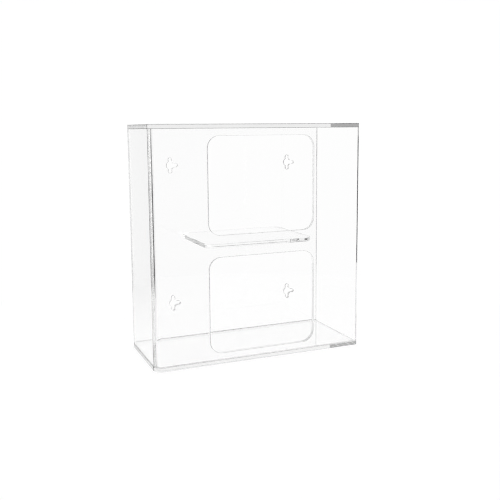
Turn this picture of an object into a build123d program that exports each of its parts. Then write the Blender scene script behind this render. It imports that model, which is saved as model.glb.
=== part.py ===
from build123d import *
import os

# Side-loading double glove box dispenser in clear acrylic sheet.
# One sheet, bent at two vertical corners, makes the front, the closed side and the back. A flat plate closes
# each end, and a small shelf splits the inside into two compartments, each with its own dispensing window.
# Frame: origin at the middle of the underside, +X to the open loading side, +Y to the wall, +Z up. Millimetres.

# Outside
overall_width = 263.0
overall_depth = 114.0
overall_height = 280.0

# Sheet stock, and the film of cement that keeps the sheets apart in each joint
wrap_thickness = 5.0
plate_thickness = 5.0
shelf_thickness = 5.0
bend_inside_radius = 5.0
edge_round = 0.5
largest_round_share = 0.25
cement_film = 0.05

# Dispensing windows in the front
window_width = 134.0
window_corner_radius = 14.0
window_end_margin = 8.5
web_height = 26.0

# Divider shelf
shelf_width = 138.0
shelf_corner_radius = 13.0

# Three-way keyholes in the back
head_hole_diameter = 10.0
screw_slot_width = 4.8
screw_slot_reach = 10.0
keyhole_spacing_x = 164.0
keyhole_spacing_z = 178.0
keyhole_edge_distance = 45.0

# Places that follow from the sizes above
open_side_x = overall_width / 2
closed_inner_x = wrap_thickness - overall_width / 2
front_face_y = -overall_depth / 2
back_face_y = overall_depth / 2
clear_depth = overall_depth - 2 * wrap_thickness
clear_height = overall_height - 2 * plate_thickness
wrap_height = clear_height - 2 * cement_film
shelf_depth = clear_depth - 2 * cement_film
bend_outside_radius = bend_inside_radius + wrap_thickness
clear_middle_x = (closed_inner_x + open_side_x) / 2
middle_z = overall_height / 2
window_height = (clear_height - web_height) / 2 - window_end_margin
window_offset_z = (web_height + window_height) / 2
keyhole_middle_x = open_side_x - keyhole_edge_distance - keyhole_spacing_x / 2
wrap_edge_round = min(edge_round, wrap_thickness * largest_round_share)
plate_edge_round = min(edge_round, plate_thickness * largest_round_share)
shelf_edge_bevel = min(edge_round, shelf_thickness * largest_round_share)


def rounded_at_closed_side(width, depth, radius):
    """Rectangle with its two corners at the closed side rounded and those at the open side square."""
    outline = Rectangle(width, depth)
    closed_corners = outline.vertices().group_by(Axis.X)[0]
    return fillet(closed_corners, radius)


def outside_plan():
    """Plan of the whole dispenser, which both end plates have."""
    return rounded_at_closed_side(overall_width, overall_depth, bend_outside_radius)


def wrap_plan():
    """U-shaped section of the bent sheet, of one thickness all along and open at the loading side."""
    hollow = rounded_at_closed_side(overall_width - wrap_thickness, clear_depth, bend_inside_radius)
    return outside_plan() - Pos(wrap_thickness / 2, 0) * hollow


def sheet_cutter(outline, x, face_y, z):
    """Solid that cuts an outline straight through the sheet whose outer face is at face_y, and past it."""
    from_outside = Plane(origin=(x, face_y, z), x_dir=(1, 0, 0), z_dir=(0, 1, 0))
    return extrude(from_outside * outline, wrap_thickness, both=True)


def window_cutters():
    """The lower and the upper dispensing window, one either side of the web."""
    outline = RectangleRounded(window_width, window_height, window_corner_radius)
    return [
        sheet_cutter(outline, clear_middle_x, front_face_y, middle_z + side * window_offset_z)
        for side in (-1, 1)
    ]


def keyhole_outline():
    """Hole for a screw head with round-ended slots up, down and towards the open side."""
    head_hole = Circle(head_hole_diameter / 2)
    upright_slot = SlotOverall(2 * screw_slot_reach, screw_slot_width, rotation=90)
    side_slot_middle = (screw_slot_reach - screw_slot_width / 2) / 2
    side_slot = Pos(side_slot_middle, 0) * SlotOverall(screw_slot_reach + screw_slot_width / 2, screw_slot_width)
    return head_hole + upright_slot + side_slot


def keyhole_cutters():
    """Four keyholes at the corners of a rectangle on the back sheet, level about the middle height."""
    return [
        sheet_cutter(
            keyhole_outline(),
            keyhole_middle_x + side * keyhole_spacing_x / 2,
            back_face_y,
            middle_z + level * keyhole_spacing_z / 2,
        )
        for side in (-1, 1)
        for level in (-1, 1)
    ]


def window_rims(wrap):
    """Edges of both windows on both faces of the front sheet."""
    front_faces = wrap.faces().filter_by(Axis.Y).sort_by(Axis.Y)[:2]
    return [edge for face in front_faces for wire in face.inner_wires() for edge in wire.edges()]


def end_rims(piece):
    """The edges all round the lowest and the highest face of a piece."""
    by_height = piece.edges().group_by(Axis.Z)
    return list(by_height[0]) + list(by_height[-1])


def open_side_rims(piece):
    """The upright edges of a piece at the open side."""
    return list(piece.edges().filter_by(Axis.Z).group_by(Axis.X)[-1])


def make_wrap_panel():
    """Front, closed side and back in one bent sheet, with its windows and keyholes."""
    wrap = Pos(0, 0, plate_thickness + cement_film) * extrude(wrap_plan(), wrap_height)
    wrap -= window_cutters()
    wrap -= keyhole_cutters()
    return fillet(window_rims(wrap) + end_rims(wrap) + open_side_rims(wrap), wrap_edge_round)


def make_end_plate(underside_z):
    """Flat plate with the outside's plan that closes one end of the wrap."""
    plate = Pos(0, 0, underside_z) * extrude(outside_plan(), plate_thickness)
    return fillet(end_rims(plate) + open_side_rims(plate), plate_edge_round)


def make_divider_shelf():
    """Plate with four rounded corners and scraped rims, cemented between the front's web and the back."""
    outline = RectangleRounded(shelf_width, shelf_depth, shelf_corner_radius)
    shelf = Pos(clear_middle_x, 0, middle_z - shelf_thickness / 2) * extrude(outline, shelf_thickness)
    return chamfer(end_rims(shelf), shelf_edge_bevel)


def main():
    os.makedirs("parts", exist_ok=True)
    pieces = {
        "wrap_panel": make_wrap_panel(),
        "top_plate": make_end_plate(overall_height - plate_thickness),
        "bottom_plate": make_end_plate(0.0),
        "divider_shelf": make_divider_shelf(),
    }
    for name, piece in pieces.items():
        export_step(piece, f"parts/{name}.step")


main()
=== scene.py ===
import math

import bpy
from mathutils import Matrix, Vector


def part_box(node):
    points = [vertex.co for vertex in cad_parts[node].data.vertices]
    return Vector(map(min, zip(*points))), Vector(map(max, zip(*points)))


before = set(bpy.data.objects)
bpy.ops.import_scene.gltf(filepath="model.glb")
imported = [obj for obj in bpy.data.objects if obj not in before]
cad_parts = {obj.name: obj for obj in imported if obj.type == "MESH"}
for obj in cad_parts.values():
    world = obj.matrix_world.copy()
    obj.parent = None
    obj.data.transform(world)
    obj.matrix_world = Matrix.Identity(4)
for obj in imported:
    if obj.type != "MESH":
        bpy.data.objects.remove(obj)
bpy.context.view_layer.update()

SCENE = bpy.context.scene

# ---------------------------------------------------------------- camera, in metres and radians
IMAGE_SIDE_PX = 500.0
SENSOR_MM = 36.0
FOCAL_PX = 694.654
PRINCIPAL_Y_PX = 223.146
CAMERA_POSITION = (-0.3229, -0.79739, 0.27399)
CAMERA_YAW = -0.395
CAMERA_PITCH = 0.135
CAMERA_ROLL = -0.008

# ---------------------------------------------------------------- rendering
LIGHT_BOUNCES = 64
PIXEL_FILTER_PX = 1.1

# ---------------------------------------------------------------- studio
ROOM_LIGHT = 1.005
# What reflections see: the room is a little darker in front, and cards stand in it. FRONT_FADE is how much of
# a direction lies along +Y where the front's light starts to brighten, and where it has become the rest's.
REFLECTED_LIGHT = 1.0
FRONT_LIGHT = 0.88
FRONT_FADE = (-0.4, 0.1)
# Cards have soft sides, in degrees: azimuth from +Y towards +X, then elevation. The four numbers are where a
# card starts, is whole, is still whole, and ends. A light below 1 makes a dark flag, above 1 a white card.
LEFT_FLAG = {"azimuth": (-150, -110, -30, -3), "elevation": (-91, -90, 25, 40), "light": 0.45}
BAND_FLAG = {"azimuth": (-110, -90, -30.5, -28.5), "elevation": (-13.0, -12.0, -4.0, -2.0), "light": 0.03}
UPPER_FLAG = {"azimuth": (-50, -49, -30.2, -28.5), "elevation": (-4.5, -3.5, -1.0, -0.3), "light": 0.03}
SLIT_FLAG = {"azimuth": (-25.5, -24.5, -17, -15), "elevation": (-13.0, -12.0, -5.0, -3.5), "light": 0.1}
REAR_FLAG = {"azimuth": (-20, -10, 15, 60), "elevation": (21, 27, 36, 50), "light": 0.15}
NARROW_CARD = {"azimuth": (-30.0, -28.8, -26.0, -25.0), "elevation": (-13.0, -12.0, -3.0, -2.0), "light": 2.0}
FRONT_CARD = {"azimuth": (80, 95, 135, 148), "elevation": (-22, -17, 17, 22), "light": 2.2}
CARDS = (LEFT_FLAG, BAND_FLAG, UPPER_FLAG, SLIT_FLAG, NARROW_CARD, FRONT_CARD, REAR_FLAG)

# The floor's colour and glow add up to the white of the room. In reflections the glow fades between two
# distances from the middle, in metres, so that the floor's rim draws no line there.
FLOOR_RADIUS = 0.45
FLOOR_SIDES = 128
FLOOR_DROP = 0.0002
FLOOR_COLOUR = 0.15
FLOOR_GLOW = 0.86
FLOOR_FADE = (0.1, 0.44)
FLOOR_FAR_GLOW = 0.7

# ---------------------------------------------------------------- acrylic
ACRYLIC_IOR = 1.49
ABSORPTION_TINT = 0.6
# Noise varies each roughness between its two numbers
CAST_ROUGHNESS = (0.0, 0.0)
CUT_ROUGHNESS = (0.0, 0.05)
MILLED_ROUGHNESS = (0.45, 0.65)
RIM_ROUGHNESS = (0.05, 0.15)
# Share of a rim's painted shade and roughness kept at the front's foot and up the back's open side
WEAK_RIM_SHADE = 0.3
# Noise scales are per metre, and heights of the relief are in metres
CLOUD_SCALE = 9.0
WAVE_SCALE = 14.0
SMOOTH_DETAIL = 2.0
POLISH_SCALE = 45.0
POLISH_DETAIL = 4.0
WAVE_HEIGHT = 0.00001
POLISH_HEIGHT = 0.000004

# ---------------------------------------------------------------- where the sheet's regions lie
WRAP_LOW, WRAP_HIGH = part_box("wrap_panel")
SHEET = 0.005
BEND_RADIUS = 2 * SHEET
EDGE_ZONE = SHEET / 5
# Part of the normal along an axis: where a rim starts, is whole, is still whole, and ends
RIM_FACING = (0.05, 0.3, 0.9, 0.995)
# Tells 0 from 1 in a mask, none from some in a count, and a face across an axis from one along it
HALF = 0.5


def make_camera():
    data = bpy.data.cameras.new("camera")
    data.sensor_width = SENSOR_MM
    data.lens = FOCAL_PX / IMAGE_SIDE_PX * SENSOR_MM
    data.shift_y = (PRINCIPAL_Y_PX - IMAGE_SIDE_PX / 2) / IMAGE_SIDE_PX
    camera = bpy.data.objects.new("camera", data)
    upright = Matrix.Rotation(CAMERA_YAW, 4, "Z") @ Matrix.Rotation(math.pi / 2 - CAMERA_PITCH, 4, "X")
    camera.matrix_world = Matrix.Translation(CAMERA_POSITION) @ upright @ Matrix.Rotation(CAMERA_ROLL, 4, "Z")
    SCENE.collection.objects.link(camera)
    SCENE.camera = camera


def set_light_paths():
    """Light crosses many faces inside clear sheet before it leaves, so few bounces would end in black."""
    cycles = SCENE.cycles
    cycles.max_bounces = LIGHT_BOUNCES
    cycles.transmission_bounces = LIGHT_BOUNCES
    cycles.glossy_bounces = LIGHT_BOUNCES
    cycles.transparent_max_bounces = LIGHT_BOUNCES
    cycles.caustics_reflective = True
    cycles.caustics_refractive = True
    cycles.blur_glossy = 0.0
    cycles.sample_clamp_indirect = 0.0


def set_image():
    """Crisp pixels, and colours shown as they are."""
    SCENE.cycles.filter_width = PIXEL_FILTER_PX
    SCENE.view_settings.view_transform = "Standard"


class Graph:
    """Adds nodes to one node tree and links them. Masks are 1 inside their region and 0 outside."""

    def __init__(self, tree):
        self.tree = tree

    def node(self, kind, **settings):
        added = self.tree.nodes.new(kind)
        for name, value in settings.items():
            setattr(added, name, value)
        return added

    def feed(self, socket, value):
        """Link an output to a socket, or set the socket to a constant."""
        if isinstance(value, bpy.types.NodeSocket):
            self.tree.links.new(value, socket)
        else:
            socket.default_value = value

    def math(self, operation, first, second=0.0):
        added = self.node("ShaderNodeMath", operation=operation)
        self.feed(added.inputs[0], first)
        self.feed(added.inputs[1], second)
        return added.outputs[0]

    def either(self, first, second):
        return self.math("MAXIMUM", first, second)

    def both(self, first, second):
        return self.math("MULTIPLY", first, second)

    def above(self, value, limit):
        return self.math("GREATER_THAN", value, limit)

    def below(self, value, limit):
        return self.math("LESS_THAN", value, limit)

    def ramp(self, value, start, end, low=0.0, high=1.0):
        """Smooth step from low at start to high at end."""
        added = self.node("ShaderNodeMapRange", interpolation_type="SMOOTHSTEP")
        settings = {"Value": value, "From Min": start, "From Max": end, "To Min": low, "To Max": high}
        for name, setting in settings.items():
            self.feed(added.inputs[name], setting)
        return added.outputs["Result"]

    def band(self, value, rise_start, rise_end, fall_start, fall_end):
        """1 between rise_end and fall_start, with soft sides."""
        rising = self.ramp(value, rise_start, rise_end)
        falling = self.ramp(value, fall_start, fall_end, 1.0, 0.0)
        return self.both(rising, falling)

    def mix(self, share, first, second):
        """From first at share 0 to second at share 1."""
        added = self.node("ShaderNodeMix", data_type="FLOAT")
        self.feed(added.inputs["Factor"], share)
        self.feed(added.inputs["A"], first)
        self.feed(added.inputs["B"], second)
        return added.outputs["Result"]

    def axes(self, vector):
        split = self.node("ShaderNodeSeparateXYZ")
        self.feed(split.inputs[0], vector)
        return split.outputs

    def reflected(self):
        """1 for light that has been reflected on its way, 0 for light that comes straight or only through."""
        return self.above(self.node("ShaderNodeLightPath").outputs["Glossy Depth"], HALF)

    def noise(self, place, scale, detail):
        added = self.node("ShaderNodeTexNoise")
        self.feed(added.inputs["Vector"], place)
        self.feed(added.inputs["Scale"], scale)
        self.feed(added.inputs["Detail"], detail)
        return added.outputs["Fac"]


def make_studio():
    """White room. Its dark flags and white cards show only in light that has been reflected on its way."""
    world = bpy.data.worlds.new("studio")
    SCENE.world = world
    world.use_nodes = True
    graph = Graph(world.node_tree)
    background = world.node_tree.nodes["Background"]
    background.inputs["Color"].default_value = (1, 1, 1, 1)
    x, y, z = graph.axes(graph.node("ShaderNodeTexCoord").outputs["Generated"])
    azimuth = graph.math("DEGREES", graph.math("ARCTAN2", x, y))
    elevation = graph.math("DEGREES", graph.math("ARCSINE", z))
    light = graph.ramp(y, *FRONT_FADE, FRONT_LIGHT, REFLECTED_LIGHT)
    for card in CARDS:
        inside = graph.both(graph.band(azimuth, *card["azimuth"]), graph.band(elevation, *card["elevation"]))
        light = graph.both(light, graph.ramp(inside, 0.0, 1.0, 1.0, card["light"]))
    graph.feed(background.inputs["Strength"], graph.mix(graph.reflected(), ROOM_LIGHT, light))


def make_floor():
    """Pale round floor just under the bottom plate."""
    bpy.ops.mesh.primitive_circle_add(
        vertices=FLOOR_SIDES, radius=FLOOR_RADIUS, fill_type="NGON", location=(0, 0, -FLOOR_DROP)
    )
    floor = bpy.context.object
    floor.name = "floor"
    material = bpy.data.materials.new("floor")
    material.use_nodes = True
    shader = material.node_tree.nodes["Principled BSDF"]
    shader.inputs["Base Color"].default_value = (FLOOR_COLOUR, FLOOR_COLOUR, FLOOR_COLOUR, 1)
    shader.inputs["Specular IOR Level"].default_value = 0.0
    shader.inputs["Emission Color"].default_value = (1, 1, 1, 1)
    graph = Graph(material.node_tree)
    place = graph.node("ShaderNodeTexCoord").outputs["Object"]
    reach = graph.node("ShaderNodeVectorMath", operation="LENGTH")
    graph.feed(reach.inputs[0], place)
    faded = graph.ramp(reach.outputs["Value"], *FLOOR_FADE, FLOOR_GLOW, FLOOR_FAR_GLOW)
    graph.feed(shader.inputs["Emission Strength"], graph.mix(graph.reflected(), FLOOR_GLOW, faded))
    floor.data.materials.append(material)


# Each of the next three gives masks of a piece's cut faces, of the milled ones among them, and of its rims,
# from the place of a point and from how much of its normal, without sign, lies along each axis.
# The cut and rim masks place painted shade in the colour as well as roughness.


def wrap_regions(graph, place, facing):
    """Bent sheet: cut at its ends and open side, and milled in its windows and keyholes."""
    x, y, z = place
    flat = graph.above(x, WRAP_LOW[0] + BEND_RADIUS)
    at_open_side = graph.above(x, WRAP_HIGH[0] - EDGE_ZONE)
    at_end = graph.either(graph.below(z, WRAP_LOW[2] + EDGE_ZONE), graph.above(z, WRAP_HIGH[2] - EDGE_ZONE))
    side_cut = graph.both(flat, graph.below(facing[1], HALF))
    end_cut = graph.both(at_end, graph.above(facing[2], HALF))
    milled = graph.both(side_cut, graph.below(graph.either(at_open_side, at_end), HALF))
    side_rim = graph.both(flat, rim_band(graph, facing[1]))
    end_rim = graph.both(at_end, rim_band(graph, facing[2]))
    rim = graph.both(graph.either(side_rim, end_rim), rim_shade(graph, place))
    return graph.either(side_cut, end_cut), milled, rim


def plate_regions(graph, place, facing):
    """Flat end plate: cut and rounded all round, with upright rims at the open side, and nothing milled."""
    at_open_side = graph.above(place[0], WRAP_HIGH[0] - EDGE_ZONE)
    upright_rim = graph.both(at_open_side, rim_band(graph, facing[1]))
    rim = graph.either(rim_band(graph, facing[2]), upright_rim)
    return graph.below(facing[2], HALF), 0.0, graph.both(rim, rim_shade(graph, place))


def shelf_regions(graph, place, facing):
    """Shelf: cut all round, with scraped rims, and nothing milled."""
    return graph.below(facing[2], HALF), 0.0, rim_band(graph, facing[2])


def rim_shade(graph, place):
    """How much of a rim's painted shade and roughness shows: less at the front's foot and up the back's open
    side.
    """
    x, y, z = place
    foot_of_front = graph.both(graph.below(z, 2 * SHEET), graph.below(y, 0.0))
    back_open_side = graph.both(graph.above(x, WRAP_HIGH[0] - EDGE_ZONE), graph.above(y, 0.0))
    return graph.mix(graph.either(foot_of_front, back_open_side), 1.0, WEAK_RIM_SHADE)


def rim_band(graph, component):
    """Where the surface turns between two faces of a sheet."""
    return graph.band(component, *RIM_FACING)


def acrylic(name, regions, absorption, cast_tint, cut_painted_shade, rim_painted_shade):
    """Clear cast acrylic, with cut faces less smooth than the cast ones, and painted shade on cut faces and
    rims.
    """
    material = bpy.data.materials.new(name)
    material.use_nodes = True
    graph = Graph(material.node_tree)
    shader = material.node_tree.nodes["Principled BSDF"]
    shader.inputs["Transmission Weight"].default_value = 1.0
    shader.inputs["IOR"].default_value = ACRYLIC_IOR
    position = graph.node("ShaderNodeTexCoord").outputs["Object"]
    normal = graph.node("ShaderNodeNewGeometry").outputs["Normal"]
    facing = [graph.math("ABSOLUTE", component) for component in graph.axes(normal)]
    cut, milled, rim = regions(graph, graph.axes(position), facing)
    cloud = graph.noise(position, CLOUD_SCALE, SMOOTH_DETAIL)
    polish = graph.noise(position, POLISH_SCALE, POLISH_DETAIL)

    def blend(cast_range, cut_range, milled_range, rim_range):
        cut_face = graph.mix(milled, graph.mix(polish, *cut_range), graph.mix(polish, *milled_range))
        surface = graph.mix(cut, graph.mix(cloud, *cast_range), cut_face)
        return graph.mix(rim, surface, graph.mix(polish, *rim_range))

    # The tint paints shade: it greys the cut faces and draws dark lines along the rims.
    tint = graph.node("ShaderNodeCombineColor")
    for channel in tint.inputs:
        graph.feed(channel, blend(cast_tint, cut_painted_shade, cut_painted_shade, rim_painted_shade))
    graph.feed(shader.inputs["Base Color"], tint.outputs[0])
    roughness = blend(CAST_ROUGHNESS, CUT_ROUGHNESS, MILLED_ROUGHNESS, RIM_ROUGHNESS)
    graph.feed(shader.inputs["Roughness"], roughness)
    add_relief(graph, shader, position, graph.both(cut, polish))
    add_absorption(graph, material, absorption)
    return material


def add_relief(graph, shader, position, polish_marks):
    """Shallow waves of the cast sheet, and the marks of polishing on the cut faces."""
    waves = graph.math("MULTIPLY", graph.noise(position, WAVE_SCALE, SMOOTH_DETAIL), WAVE_HEIGHT)
    marks = graph.math("MULTIPLY", polish_marks, POLISH_HEIGHT)
    relief = graph.node("ShaderNodeBump")
    graph.feed(relief.inputs["Height"], graph.math("ADD", waves, marks))
    relief.inputs["Distance"].default_value = 1.0
    graph.feed(shader.inputs["Normal"], relief.outputs["Normal"])


def add_absorption(graph, material, density):
    """Grey that deepens with the light's path through the sheet."""
    absorber = graph.node("ShaderNodeVolumeAbsorption")
    absorber.inputs["Color"].default_value = (ABSORPTION_TINT, ABSORPTION_TINT, ABSORPTION_TINT, 1)
    absorber.inputs["Density"].default_value = density
    graph.feed(material.node_tree.nodes["Material Output"].inputs["Volume"], absorber.outputs[0])


# Each tint is the pair of greys between which noise varies it. The cut and rim tints are painted shade.
FINISHES = {
    "wrap_panel": {
        "regions": wrap_regions, "absorption": 1.2,
        "cast_tint": (0.985, 1.0), "cut_painted_shade": (0.96, 1.0), "rim_painted_shade": (0.4, 0.65),
    },
    "top_plate": {
        "regions": plate_regions, "absorption": 1.2,
        "cast_tint": (0.985, 1.0), "cut_painted_shade": (0.84, 0.94), "rim_painted_shade": (0.2, 0.45),
    },
    "bottom_plate": {
        "regions": plate_regions, "absorption": 0.8,
        "cast_tint": (0.965, 0.99), "cut_painted_shade": (0.88, 0.97), "rim_painted_shade": (0.4, 0.65),
    },
    "divider_shelf": {
        "regions": shelf_regions, "absorption": 0.2,
        "cast_tint": (0.985, 1.0), "cut_painted_shade": (0.99, 1.0), "rim_painted_shade": (0.85, 1.0),
    },
}

make_camera()
set_light_paths()
set_image()
make_studio()
make_floor()
for name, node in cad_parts.items():
    node.data.materials.clear()
    node.data.materials.append(acrylic(name + "_acrylic", **FINISHES[name]))
